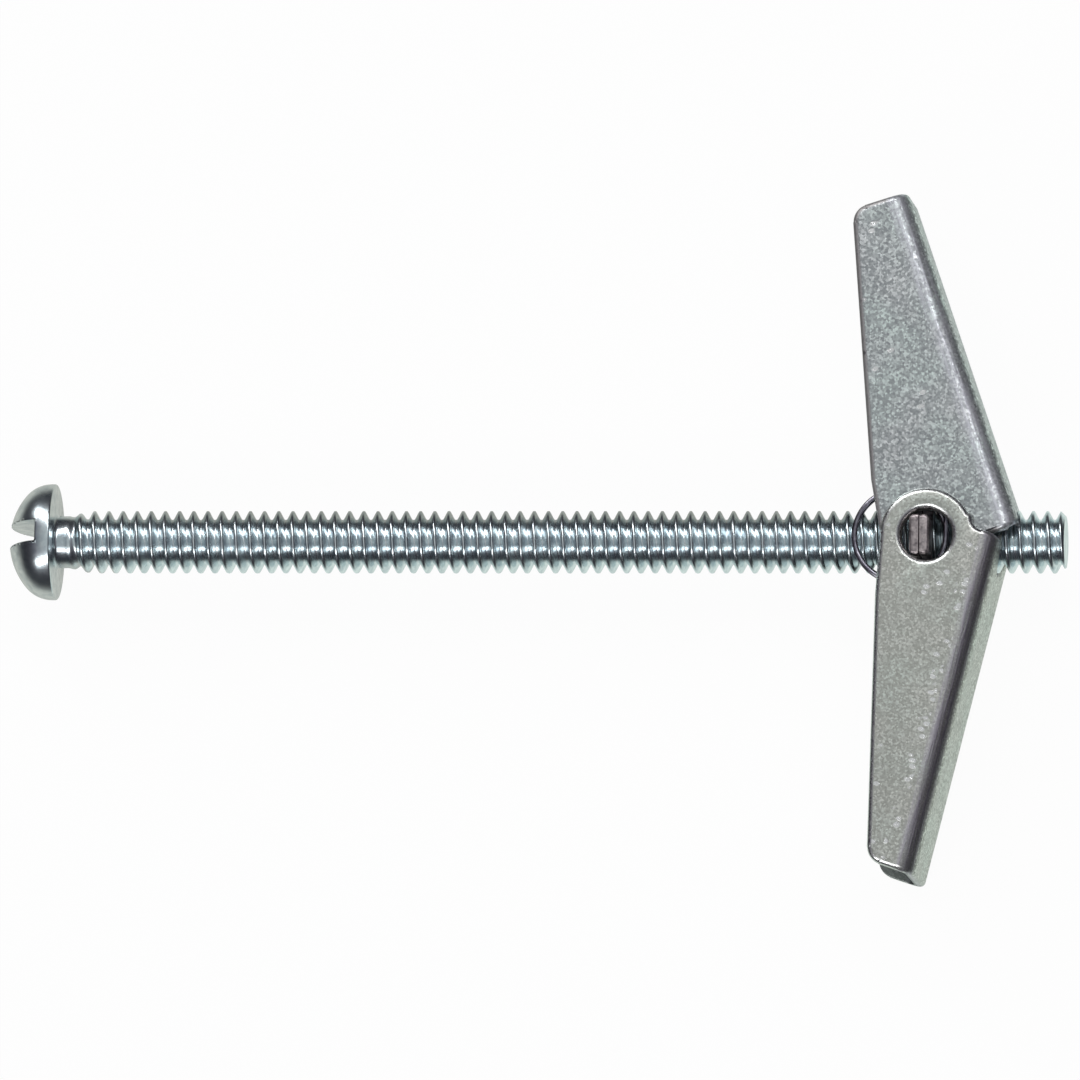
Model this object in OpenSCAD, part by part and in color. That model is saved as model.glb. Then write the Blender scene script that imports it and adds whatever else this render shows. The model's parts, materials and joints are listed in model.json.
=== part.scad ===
// Spring toggle bolt: a slotted round-head machine screw, a folded trunnion nut, two nested
// sheet-metal wings that hinge on the nut, and the torsion spring that throws the wings open.
//
// Frame: origin at the centre of the head's bearing face, +X along the screw to its thread end,
// +Z along the hinge axis of the wings, the inner wing on the +Y side and the outer wing on -Y.
// The wings are shown sprung open, as the toggle lies loose on a bench.

/* [Screw] */
// Length under the head
screw_length = 75.1; // [60:0.1:100]
// Major diameter of the number 10-24 thread
thread_d = 4.64; // [4.6:0.01:4.7]
// Diameter of the plain neck under the head
neck_d = 3.85; // [3.6:0.05:4.2]
// Length of the plain neck, up to where the thread runs out
neck_length = 2.1; // [2.05:0.05:3]
// Diameter of the head
head_d = 8.6; // [8.2:0.1:9.1]
// Height of the head
head_height = 3.48; // [3.3:0.02:3.6]
// Width of the driver slot
slot_width = 1.56; // [1.1:0.02:1.6]
// Depth of the driver slot at the crown
slot_depth = 2.35; // [1.6:0.05:2.4]
// How far the slot sits off the screw's axis
slot_offset = 0.2; // [0:0.05:0.3]
// Angle by which the slot misses the hinge axis, about the screw
slot_turn = 3; // [0:0.5:4]

/* [Toggle] */
// Distance from the bearing face to the hinge axis of the wings
pivot_x = 65.2; // [45:0.05:66]
// Thickness of the sheet that the wings are pressed from
sheet = 0.76; // [0.7:0.01:0.76]
// Outer width of the outer wing, the full height of the toggle
toggle_width = 9.9; // [9.9:0.01:10.4]
// Side play between the flanges of the two nested wings
nest_gap = 0.08; // [0.05:0.01:0.08]
// Radius of the ears round the hinge bores
ear_r = 3.45; // [3.2:0.05:3.6]
// Diameter of the hinge bores in the ears
bore_d = 3.8; // [3.74:0.02:4]
// Radius of the rounded corner at each wing's tip
tip_r = 1.3; // [0.6:0.1:1.5]
// Radius of the hollow between ear and heel
throat_r = 0.8; // [0.5:0.1:1]

/* [Inner wing] */
// Lean of the open wing's free edge towards the head, in degrees
inner_lean = 4.72; // [4:0.02:6]
// Angle between web and free edge, in degrees
inner_taper = 14.46; // [13:0.02:15]
// Distance from hinge axis to the web's outer face, across the ears
inner_heel = 6.9; // [6.7:0.05:7]
// Distance from hinge axis to the free edges
inner_edge = 3.87; // [3.8:0.01:4.1]
// Length of the wing along its web, from the hinge axis
inner_length = 26.5; // [20:0.05:28]
// Outer bend radius of the channel
inner_bend = 1.25; // [1:0.05:1.3]
// Angle by which the tip's cut misses square to the web
inner_skew = -1.5; // [-3:0.5:6]

/* [Outer wing] */
// Lean of the open wing's free edge towards the head, in degrees
outer_lean = 1.08; // [0:0.02:2]
// Angle between web and free edge, in degrees
outer_taper = 12.66; // [12:0.02:13.5]
// Distance from hinge axis to the web's outer face, across the ears
outer_heel = 5.52; // [5.3:0.02:5.6]
// Distance from hinge axis to the free edges
outer_edge = 3.66; // [3.6:0.01:3.8]
// Length of the wing along its web, from the hinge axis
outer_length = 25.9; // [20:0.05:28]
// Outer bend radius of the channel
outer_bend = 1.5; // [1:0.05:1.6]
// Angle by which the tip's cut misses square to the web
outer_skew = 5; // [-3:0.5:6]

/* [Nut] */
// Thickness of the strip that the nut is folded from
leaf = 0.72; // [0.68:0.01:0.74]
// Width of the two trunnion tabs
tab_width = 3; // [2.8:0.05:3.05]
// Distance from the hinge axis to the nut's head-side face
nut_setback = 1.3; // [1.25:0.01:1.35]
// Radius of the nut's body round the tapped hole
nut_r = 3; // [2.9:0.05:3.1]
// Gap left between the two folded leaves
leaf_gap = 0.08; // [0.06:0.01:0.1]
// Running clearance between the nut and the thread's crests, on the radius
thread_play = 0.03; // [0.02:0.01:0.05]

/* [Spring] */
// Diameter of the spring wire
wire_d = 0.46; // [0.4:0.01:0.46]
// Mean radius of the coil
coil_r = 3.4; // [3.35:0.01:3.42]
// How far the coil's centre sits towards the head from the hinge axis
coil_setback = 2.1; // [2.05:0.01:2.15]
// Length of the leg inside the inner wing
inner_leg = 11.2; // [7:0.1:11.2]
// Length of the leg inside the outer wing
outer_leg = 10.3; // [7:0.1:10.3]

/* [Hidden] */
$fn = 96;

zinc = [0.72, 0.74, 0.77];
wing_zinc = [0.62, 0.64, 0.63];
nut_zinc = [0.55, 0.53, 0.52];
spring_steel = [0.28, 0.27, 0.30];

// Screw
thread_r = thread_d / 2;
neck_r = neck_d / 2;
neck_fillet = 0.3;         // under-head radius
thread_runout = 0.4;       // cone from neck to full thread
end_chamfer = 0.4;         // at the screw's end
rim_height = 0.34;         // straight rim below the dome
rim_round = 0.12;          // rounding of the rim's lower edge
shoulder_r = 2.46;         // dome's small arc, next to the rim
dome_rise = head_height - rim_height;
shoulder_out = head_d / 2 - shoulder_r;
// The dome is two arcs that share a tangent: this is the crown's radius.
crown_r = (pow(dome_rise, 2) + pow(shoulder_out, 2) - pow(shoulder_r, 2)) / (2 * (dome_rise - shoulder_r));
crown_y = -head_height + crown_r;

// Wings, from outside to inside
inner_width = toggle_width - 2 * (sheet + nest_gap);
cut = 0.01;                // lets a cutter pass through a face
lap = 0.03;                // lets a curve cross the line it would only touch
notch_r = 2.75;            // round notch for the screw in each web
notch_clear = 0.12;        // left between notch and thread, the wings' open stop
edge_start = 4.5;          // where an ear's flank reaches the free edge
inner_heel_cut = 0.6;      // heel cut's place along the web, from the hinge axis
outer_heel_cut = 0.14;
heel_reach = 2;            // how near the heel's cut comes to the hinge axis, inside the ear

// Nut
nut_thickness = 2 * leaf + leaf_gap;
nut_x0 = pivot_x - nut_setback;
tab_round = 0.4;           // rounding of the tabs' long edges
tab_recess = 0.08;         // how far the tabs end inside the outer ears
fold_rise = 0.2;           // from the nut's round body up to the fold's centre
fold_width = 2.8;

// Spring
wire_r = wire_d / 2;
wire_clear = 0.04;         // between the thread and the coil's lower layer
layer_gap = 0.02;          // between the coil's two layers where they cross
layer_low = thread_r + wire_clear + wire_r;
layer_high = layer_low + wire_d + layer_gap;
coil_x = pivot_x - coil_setback;
coil_y = 0.12;
leg_lean = 1.4;            // legs lean out to meet the webs, in degrees
leg_drop = 0.37;           // inner leg sinks clear of its wing's bend
WIRE_SIDES = 8;
COIL_STEP = 10;            // degrees between rings

function unit(v) = v / norm(v);
function turn(v, a) = [v.x * cos(a) - v.y * sin(a), v.x * sin(a) + v.y * cos(a)];
// Point on a circle of radius r about the origin where the line from p touches it.
function touch(p, r, side) = let (a = atan2(p.y, p.x) + side * acos(r / norm(p))) r * [cos(a), sin(a)];

// ---------- screw ----------

// Half section of the head: radius along x, height along y, bearing face on y = 0.
module head_section() {
    reach = unit([shoulder_out, -rim_height - crown_y]) * 1.5 * crown_r;
    intersection() {
        translate([0, -head_height - 1]) square([head_d, head_height + 1]);
        union() {
            intersection() {
                translate([0, crown_y]) circle(crown_r);
                polygon([[0, crown_y], [0, crown_y - 1.5 * crown_r], [0, crown_y] + reach]);
            }
            translate([shoulder_out, -rim_height]) circle(shoulder_r);
            translate([0, -rim_height]) square([head_d / 2 - rim_round, rim_height]);
            translate([0, -rim_height]) square([head_d / 2, rim_height - rim_round]);
            translate([head_d / 2 - rim_round, -rim_round]) circle(rim_round);
        }
    }
}

// Half section of the shank, with the under-head fillet and the chamfered end.
module shank_section() {
    full = neck_length + thread_runout;
    difference() {
        polygon([[0, -0.5], [neck_r + neck_fillet, -0.5], [neck_r + neck_fillet, neck_fillet],
            [neck_r, neck_fillet], [neck_r, neck_length], [thread_r, full],
            [thread_r, screw_length - end_chamfer], [thread_r - end_chamfer, screw_length],
            [0, screw_length]]);
        translate([neck_r + neck_fillet, neck_fillet]) circle(neck_fillet);
    }
}

module machine_screw() {
    color(zinc)
    difference() {
        rotate([0, 90, 0]) rotate_extrude() union() {
            head_section();
            shank_section();
        }
        translate([-head_height - 1, slot_offset, 0]) rotate([-slot_turn, 0, 0])
            translate([0, -slot_width / 2, -head_d]) cube([slot_depth + 1, slot_width, 2 * head_d]);
    }
}

// ---------- wings ----------

// Solid channel blank in section: outer face on x = 0, depth towards -x, round corners.
module rounded_slab(width, depth, r) {
    translate([-depth, -width / 2]) square([depth - r, width]);
    translate([-depth, -width / 2 + r]) square([depth, width - 2 * r]);
    for (side = [-1, 1]) translate([-r, side * (width / 2 - r)]) circle(r);
}

// Bar along a wing's web, a given depth inside the web's outer face.
module web_bar(width, taper, heel, length, inset, r) {
    run_on = heel + ear_r;
    translate([heel, 0, 0]) rotate([0, 0, taper]) translate([-inset, -run_on, 0]) rotate([-90, 0, 0])
        linear_extrude(length + 2 * run_on) rounded_slab(width, 3 * heel, r);
}

// Blank of a wing, laid flat: hinge axis at the origin, tip towards +y, web towards +x.
module wing_blank(taper, heel, edge, length, skew, heel_start, height) {
    along = [-sin(taper), cos(taper)];
    out = [cos(taper), sin(taper)];
    tip_cut = [cos(taper + skew), sin(taper + skew)];
    tip_web = [heel, 0] + along * length;
    tip_edge = tip_web - tip_cut * (tip_web.x + edge) / tip_cut.x;
    heel_web = [heel, 0] + along * heel_start;
    heel_in = heel_web - out * (heel - heel_reach);
    flank = touch([-edge, edge_start], ear_r - lap, 1);
    // rounded tip corner, between the free edge and the tip's cut
    half = (90 + taper + skew) / 2;
    back = tip_r / tan(half);
    corner = tip_edge + unit([0, -1] + tip_cut) * tip_r / sin(half);
    // hollow: a circle that touches the ear and the heel's cut from outside
    rise = heel_web * along - throat_r;
    hollow = along * rise + out * sqrt(pow(ear_r + throat_r, 2) - pow(rise, 2));
    web_in = 0.5; // how far the patch behind the hollow reaches into ear and heel
    translate([0, 0, -height / 2])
    difference() {
        union() {
            linear_extrude(height)
                polygon([flank, [-edge, edge_start], tip_edge - [0, back], tip_edge + back * tip_cut,
                    tip_web + tip_cut, heel_web + out, heel_in, [0, 0]]);
            translate(corner) cylinder(h = height, r = tip_r - lap);
            cylinder(h = height, r = ear_r);
            linear_extrude(height)
                polygon([unit(hollow) * (ear_r - web_in), hollow, hollow + along * (throat_r + web_in / 2),
                    along * (rise + throat_r + web_in / 2) + out * (ear_r - 2 * web_in)]);
        }
        translate([hollow.x, hollow.y, -cut]) cylinder(h = height + 2 * cut, r = throat_r + lap);
        translate([0, 0, -cut]) cylinder(h = height + 2 * cut, d = bore_d);
    }
}

// One wing in its open position on the +y side of the screw: a channel folded from sheet.
module wing(width, lean, taper, heel, edge, length, bend_r, skew, heel_start) {
    difference() {
        translate([pivot_x, 0, 0]) rotate([0, 0, lean]) difference() {
            intersection() {
                web_bar(width, taper, heel, length, 0, bend_r);
                wing_blank(taper, heel, edge, length, skew, heel_start, 2 * width);
            }
            web_bar(width - 2 * sheet, taper, heel, length, sheet, bend_r - sheet);
        }
        translate([pivot_x, thread_r + notch_clear - notch_r, 0]) rotate([0, 90, 0])
            cylinder(h = 3 * heel, r = notch_r);
    }
}

module inner_wing() {
    color(wing_zinc)
        wing(inner_width, inner_lean, inner_taper, inner_heel, inner_edge, inner_length,
            inner_bend, inner_skew, inner_heel_cut);
}

module outer_wing() {
    color(wing_zinc)
        mirror([0, 1, 0])
        wing(toggle_width, outer_lean, outer_taper, outer_heel, outer_edge, outer_length,
            outer_bend, outer_skew, outer_heel_cut);
}

// ---------- nut ----------

// Section of a trunnion tab, across the hinge axis.
module tab_section() {
    square([nut_thickness - 2 * tab_round, tab_width], center = true);
    square([nut_thickness, tab_width - 2 * tab_round], center = true);
    for (x = [-1, 1], y = [-1, 1])
        translate([x * (nut_thickness / 2 - tab_round), y * (tab_width / 2 - tab_round)]) circle(tab_round);
}

// One strip folded double over the screw, tapped through both leaves, with a tab at each end.
module toggle_nut() {
    fold_y = nut_r + fold_rise;
    reach = toggle_width - 2 * tab_recess;
    color(nut_zinc)
    translate([nut_x0, 0, 0])
    difference() {
        union() {
            rotate([0, 90, 0]) cylinder(h = nut_thickness, r = nut_r);
            translate([nut_thickness / 2, 0, -reach / 2]) linear_extrude(reach) tab_section();
            translate([0, 0, -fold_width / 2]) cube([nut_thickness, fold_y, fold_width]);
            translate([nut_thickness / 2, fold_y, -fold_width / 2])
                cylinder(h = fold_width, d = nut_thickness);
        }
        translate([-cut, 0, 0]) rotate([0, 90, 0])
            cylinder(h = nut_thickness + 2 * cut, r = thread_r + thread_play);
        translate([leaf, -nut_r - cut, -reach]) cube([leaf_gap, nut_r + fold_y + cut, 2 * reach]);
        translate([nut_thickness / 2, fold_y, -reach]) cylinder(h = 2 * reach, d = leaf_gap);
    }
}

// ---------- spring ----------

function coil_point(a) = [coil_x + coil_r * cos(a), coil_y + coil_r * sin(a),
    layer_low + (layer_high - layer_low) * a / 360];

// Wire's centre line: lower leg, one turn, upper leg.
function wire_path() = let (
        out = turn([0, 1], -leg_lean),
        start = coil_point(0),
        end = coil_point(360))
    concat(
        [for (s = [1 : -0.25 : 0.25]) start + s * outer_leg * [out.x, -out.y, 0]],
        [for (a = [0 : COIL_STEP : 360]) coil_point(a)],
        [for (s = [0.25 : 0.25 : 1]) end + s * [inner_leg * out.x, inner_leg * out.y, -leg_drop]]);

function tangent(path, i) = unit(path[min(i + 1, len(path) - 1)] - path[max(i - 1, 0)]);

module swept_wire(path, r) {
    rings = [for (i = [0 : len(path) - 1]) let (
            t = tangent(path, i),
            side = unit(cross(t, [0, 0, 1])),
            lift = cross(side, t))
        [for (k = [0 : WIRE_SIDES - 1]) let (a = 360 * k / WIRE_SIDES)
            path[i] + r * (cos(a) * side + sin(a) * lift)]];
    n = WIRE_SIDES;
    last = n * (len(path) - 1);
    walls = [for (i = [0 : len(path) - 2], k = [0 : n - 1], half = [0, 1]) let (
            a = n * i + k,
            b = n * i + (k + 1) % n)
        half == 0 ? [a, b, b + n] : [a, b + n, a + n]];
    caps = [[for (k = [n - 1 : -1 : 0]) k], [for (k = [0 : n - 1]) last + k]];
    polyhedron(points = [for (ring = rings, p = ring) p], faces = concat(walls, caps), convexity = 6);
}

module torsion_spring() {
    color(spring_steel) swept_wire(wire_path(), wire_r);
}

machine_screw();
toggle_nut();
outer_wing();
inner_wing();
torsion_spring();
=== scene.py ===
"""Spring toggle bolt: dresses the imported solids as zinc-plated steel on a pale bench.

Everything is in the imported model's frame, in metres: the origin is at the centre of the head's
bearing face, +X runs along the screw to its thread end, +Z is the wings' hinge axis and points up
as the bolt lies, and +Y is the side of the inner wing.
"""

from __future__ import annotations

import json
import logging
import math
from dataclasses import dataclass, field
from enum import Enum
from typing import Any, Callable

import bmesh
import bpy
from mathutils import Matrix, Vector


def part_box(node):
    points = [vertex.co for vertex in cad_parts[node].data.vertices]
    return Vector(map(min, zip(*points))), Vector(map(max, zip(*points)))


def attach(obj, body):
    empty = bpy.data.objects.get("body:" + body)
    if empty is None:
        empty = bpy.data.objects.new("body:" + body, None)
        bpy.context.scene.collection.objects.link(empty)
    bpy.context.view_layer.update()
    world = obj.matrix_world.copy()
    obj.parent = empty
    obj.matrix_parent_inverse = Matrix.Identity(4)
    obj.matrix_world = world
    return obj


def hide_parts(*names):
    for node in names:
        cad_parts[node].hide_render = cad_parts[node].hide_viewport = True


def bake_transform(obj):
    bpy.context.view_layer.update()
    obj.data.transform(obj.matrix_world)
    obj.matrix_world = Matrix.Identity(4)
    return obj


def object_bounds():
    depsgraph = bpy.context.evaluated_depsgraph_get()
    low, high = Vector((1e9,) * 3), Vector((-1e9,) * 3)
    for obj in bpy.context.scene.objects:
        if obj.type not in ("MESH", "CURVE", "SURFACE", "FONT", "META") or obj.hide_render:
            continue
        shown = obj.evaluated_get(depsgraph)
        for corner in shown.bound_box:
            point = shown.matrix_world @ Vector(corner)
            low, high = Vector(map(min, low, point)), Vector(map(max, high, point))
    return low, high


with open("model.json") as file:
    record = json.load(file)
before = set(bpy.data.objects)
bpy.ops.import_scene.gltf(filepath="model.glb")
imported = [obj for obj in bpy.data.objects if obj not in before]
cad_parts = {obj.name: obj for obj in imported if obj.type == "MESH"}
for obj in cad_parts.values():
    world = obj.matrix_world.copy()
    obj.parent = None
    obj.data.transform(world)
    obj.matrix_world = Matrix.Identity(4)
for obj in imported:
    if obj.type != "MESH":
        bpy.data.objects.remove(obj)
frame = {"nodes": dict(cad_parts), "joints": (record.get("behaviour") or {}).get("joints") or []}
cad_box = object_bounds()

LOG = logging.getLogger("toggle_bolt")
MM = 0.001
SHARP = math.radians(28)  # an edge that bends more than this is rounded
COPLANAR = math.radians(0.4)  # CAD faces that bend less than this are made one
WELD = 0.0005 * MM  # CAD corners nearer than this are one corner
SPECK = 0.001 * MM  # an edge shorter than this is dropped after rounding
LEVEL = 0.02 * MM  # a point this near a wing's side skin is put on it
Colour = tuple[float, float, float]
Span = tuple[float, float]


# ---------------------------------------------------------------- node trees as expressions


class Graph:
    """A node tree that is built by calls, one node a call."""

    def __init__(self, tree: bpy.types.NodeTree) -> None:
        """Wraps a tree.

        Args:
            tree: The node tree to add to.
        """
        self.tree = tree

    @staticmethod
    def fresh(owner: bpy.types.Material | bpy.types.World) -> Graph:
        """Gives a material or world an empty tree and wraps it."""
        owner.use_nodes = True
        owner.node_tree.nodes.clear()
        return Graph(owner.node_tree)

    def node(
        self,
        kind: str,
        settings: dict[str, Any] | None = None,
        sockets: dict[Any, Any] | None = None,
    ) -> bpy.types.Node:
        """Adds one node.

        Args:
            kind: The node's type name.
            settings: Attributes to set first. "stops" sets a colour ramp's (place, colour) pairs.
            sockets: Input name or index to a value, a socket or a Field.

        Returns:
            The new node.
        """
        made = self.tree.nodes.new(kind)
        for name, value in (settings or {}).items():
            if name == "stops":
                self._set_stops(made.color_ramp, value)
            else:
                setattr(made, name, value)
        for key, value in (sockets or {}).items():
            self.feed(made.inputs[key], value)
        return made

    def out(
        self,
        kind: str,
        output: Any = 0,
        settings: dict[str, Any] | None = None,
        sockets: dict[Any, Any] | None = None,
    ) -> Field:
        """Adds one node and gives one of its outputs.

        Args:
            kind: The node's type name.
            output: The output's name or index.
            settings: As in node().
            sockets: As in node().

        Returns:
            The output, ready for arithmetic.
        """
        return Field(self, self.node(kind, settings, sockets).outputs[output])

    def feed(self, socket: bpy.types.NodeSocket, value: Any) -> None:
        """Links or sets an input.

        Args:
            socket: The input.
            value: A Field or socket to link from, or a plain value.
        """
        if isinstance(value, Field):
            self.tree.links.new(value.socket, socket)
        elif isinstance(value, bpy.types.NodeSocket):
            self.tree.links.new(value, socket)
        elif socket.type == "RGBA" and len(value) == 3:
            socket.default_value = (*value, 1.0)
        else:
            socket.default_value = value

    def mix(self, amount: Any, low: Any, high: Any) -> Field:
        """Mixes two colours.

        Args:
            amount: 0 gives low, 1 gives high.
            low: A colour or colour field.
            high: A colour or colour field.

        Returns:
            The mixed colour.
        """
        settings = {"data_type": "RGBA", "clamp_factor": True}
        return self.out("ShaderNodeMix", 2, settings, {0: amount, 6: low, 7: high})

    def vector(self, x: Any, y: Any, z: Any) -> Field:
        """Joins three numbers into a vector."""
        return self.out("ShaderNodeCombineXYZ", sockets={0: x, 1: y, 2: z})

    def placed(self, geometry: Any, position: Field) -> Field:
        """Puts a geometry's points at a new position."""
        sockets = {"Geometry": geometry, "Position": position}
        return self.out("GeometryNodeSetPosition", sockets=sockets)

    @staticmethod
    def _set_stops(ramp: bpy.types.ColorRamp, stops: list[tuple[float, Colour]]) -> None:
        """Gives a colour ramp its stops.

        Args:
            ramp: The ramp.
            stops: Pairs of place and colour, in order.
        """
        while len(ramp.elements) < len(stops):
            ramp.elements.new(1.0)
        for element, (place, colour) in zip(ramp.elements, stops):
            element.position = place
            element.color = (*colour, 1.0)


def with_other(operation: str, swapped: bool = False) -> Callable[[Field, Any], Field]:
    """Makes a Field method of two values.

    Args:
        operation: The Math node's operation. A comparison gives 1 or 0.
        swapped: True to put the field second.

    Returns:
        The method.
    """
    if swapped:
        return lambda self, other: self._math(operation, other, self)
    return lambda self, other: self._math(operation, self, other)


def alone(operation: str) -> Callable[[Field], Field]:
    """Makes a Field method of one value, in radians where it is an angle."""
    return lambda self: self._math(operation, self)


class Field:
    """A socket that takes part in Python arithmetic, each operator adding its Math node."""

    def __init__(self, graph: Graph, socket: bpy.types.NodeSocket) -> None:
        """Wraps an output socket.

        Args:
            graph: The graph it belongs to.
            socket: The output.
        """
        self.graph = graph
        self.socket = socket

    def _math(self, operation: str, *values: Any) -> Field:
        """Adds a Math node on these values."""
        settings = {"operation": operation}
        return self.graph.out("ShaderNodeMath", 0, settings, dict(enumerate(values)))

    __add__ = with_other("ADD")
    __radd__ = with_other("ADD", swapped=True)
    __sub__ = with_other("SUBTRACT")
    __rsub__ = with_other("SUBTRACT", swapped=True)
    __mul__ = with_other("MULTIPLY")
    __gt__ = with_other("GREATER_THAN")
    __lt__ = with_other("LESS_THAN")
    least = with_other("MINIMUM")
    most = with_other("MAXIMUM")
    __abs__ = alone("ABSOLUTE")
    fraction = alone("FRACT")
    cosine = alone("COSINE")
    sine = alone("SINE")

    def eased(self, low: Any, high: Any) -> Field:
        """A smooth step.

        Args:
            low: Where it leaves 0.
            high: Where it reaches 1.

        Returns:
            0 to 1, with level ends.
        """
        settings = {"interpolation_type": "SMOOTHSTEP"}
        return self.graph.out("ShaderNodeMapRange", 0, settings, {0: self, 1: low, 2: high})

    def ramped(self, low: Any, high: Any) -> Field:
        """A straight step from 0 at low to 1 at high, level outside."""
        return self.graph.out("ShaderNodeMapRange", 0, {"clamp": True}, {0: self, 1: low, 2: high})

    def part(self, name: str) -> Field:
        """One of a vector's parts: X, Y or Z."""
        return self.graph.out("ShaderNodeSeparateXYZ", name, None, {0: self})


# ---------------------------------------------------------------- finishes


@dataclass(frozen=True)
class Finish:
    """A metal finish: a tree of nodes that ends in one metallic shader."""

    name: str

    def material(self) -> bpy.types.Material:
        """Makes the material, once for each name.

        Returns:
            The material.
        """
        found = bpy.data.materials.get(self.name)
        if found:
            return found
        made = bpy.data.materials.new(self.name)
        graph = Graph.fresh(made)
        place = graph.out("ShaderNodeTexCoord", "Object")
        shader = self.shade(graph, place)
        graph.node("ShaderNodeOutputMaterial", None, {"Surface": shader})
        return made

    def shade(self, graph: Graph, place: Field) -> Field:
        """Builds the finish's nodes.

        Args:
            graph: The material's graph.
            place: Object coordinates, in metres.

        Returns:
            The surface shader.
        """
        raise NotImplementedError

    @staticmethod
    def noise(graph: Graph, place: Field, size: float, detail: float = 2.0) -> Field:
        """Soft noise from 0 to 1.

        Args:
            graph: The material's graph.
            place: Object coordinates.
            size: Size of its blotches in metres.
            detail: Octaves.

        Returns:
            The noise.
        """
        sockets = {"Vector": place, "Scale": 1.0 / size, "Detail": detail}
        return graph.out("ShaderNodeTexNoise", 0, {"normalize": True}, sockets)

    @staticmethod
    def cells(graph: Graph, place: Field, size: float, output: str) -> Field:
        """A crystal pattern.

        Args:
            graph: The material's graph.
            place: Object coordinates.
            size: Size of one cell in metres.
            output: "Distance" from the cell's centre, or "Color", random for each cell.

        Returns:
            The chosen output.
        """
        sockets = {"Vector": place, "Scale": 1.0 / size}
        return graph.out("ShaderNodeTexVoronoi", output, None, sockets)

    @staticmethod
    def metal(
        graph: Graph,
        colour: Any,
        roughness: Any,
        height: Field,
        depth: float,
        metallic: Any = 1.0,
    ) -> Field:
        """A metallic shader with a bump.

        Args:
            graph: The material's graph.
            colour: The reflected colour.
            roughness: Roughness, a number or a field.
            height: Relief from 0 to 1.
            depth: The relief's depth in metres.
            metallic: How metallic the surface is, from 0 for a chalky film to 1.

        Returns:
            The shader.
        """
        sockets = {"Strength": 1.0, "Distance": depth, "Height": height}
        bump = graph.out("ShaderNodeBump", "Normal", None, sockets)
        sockets = {"Base Color": colour, "Metallic": metallic, "Normal": bump}
        sockets["Roughness"] = roughness
        return graph.out("ShaderNodeBsdfPrincipled", sockets=sockets)


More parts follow.
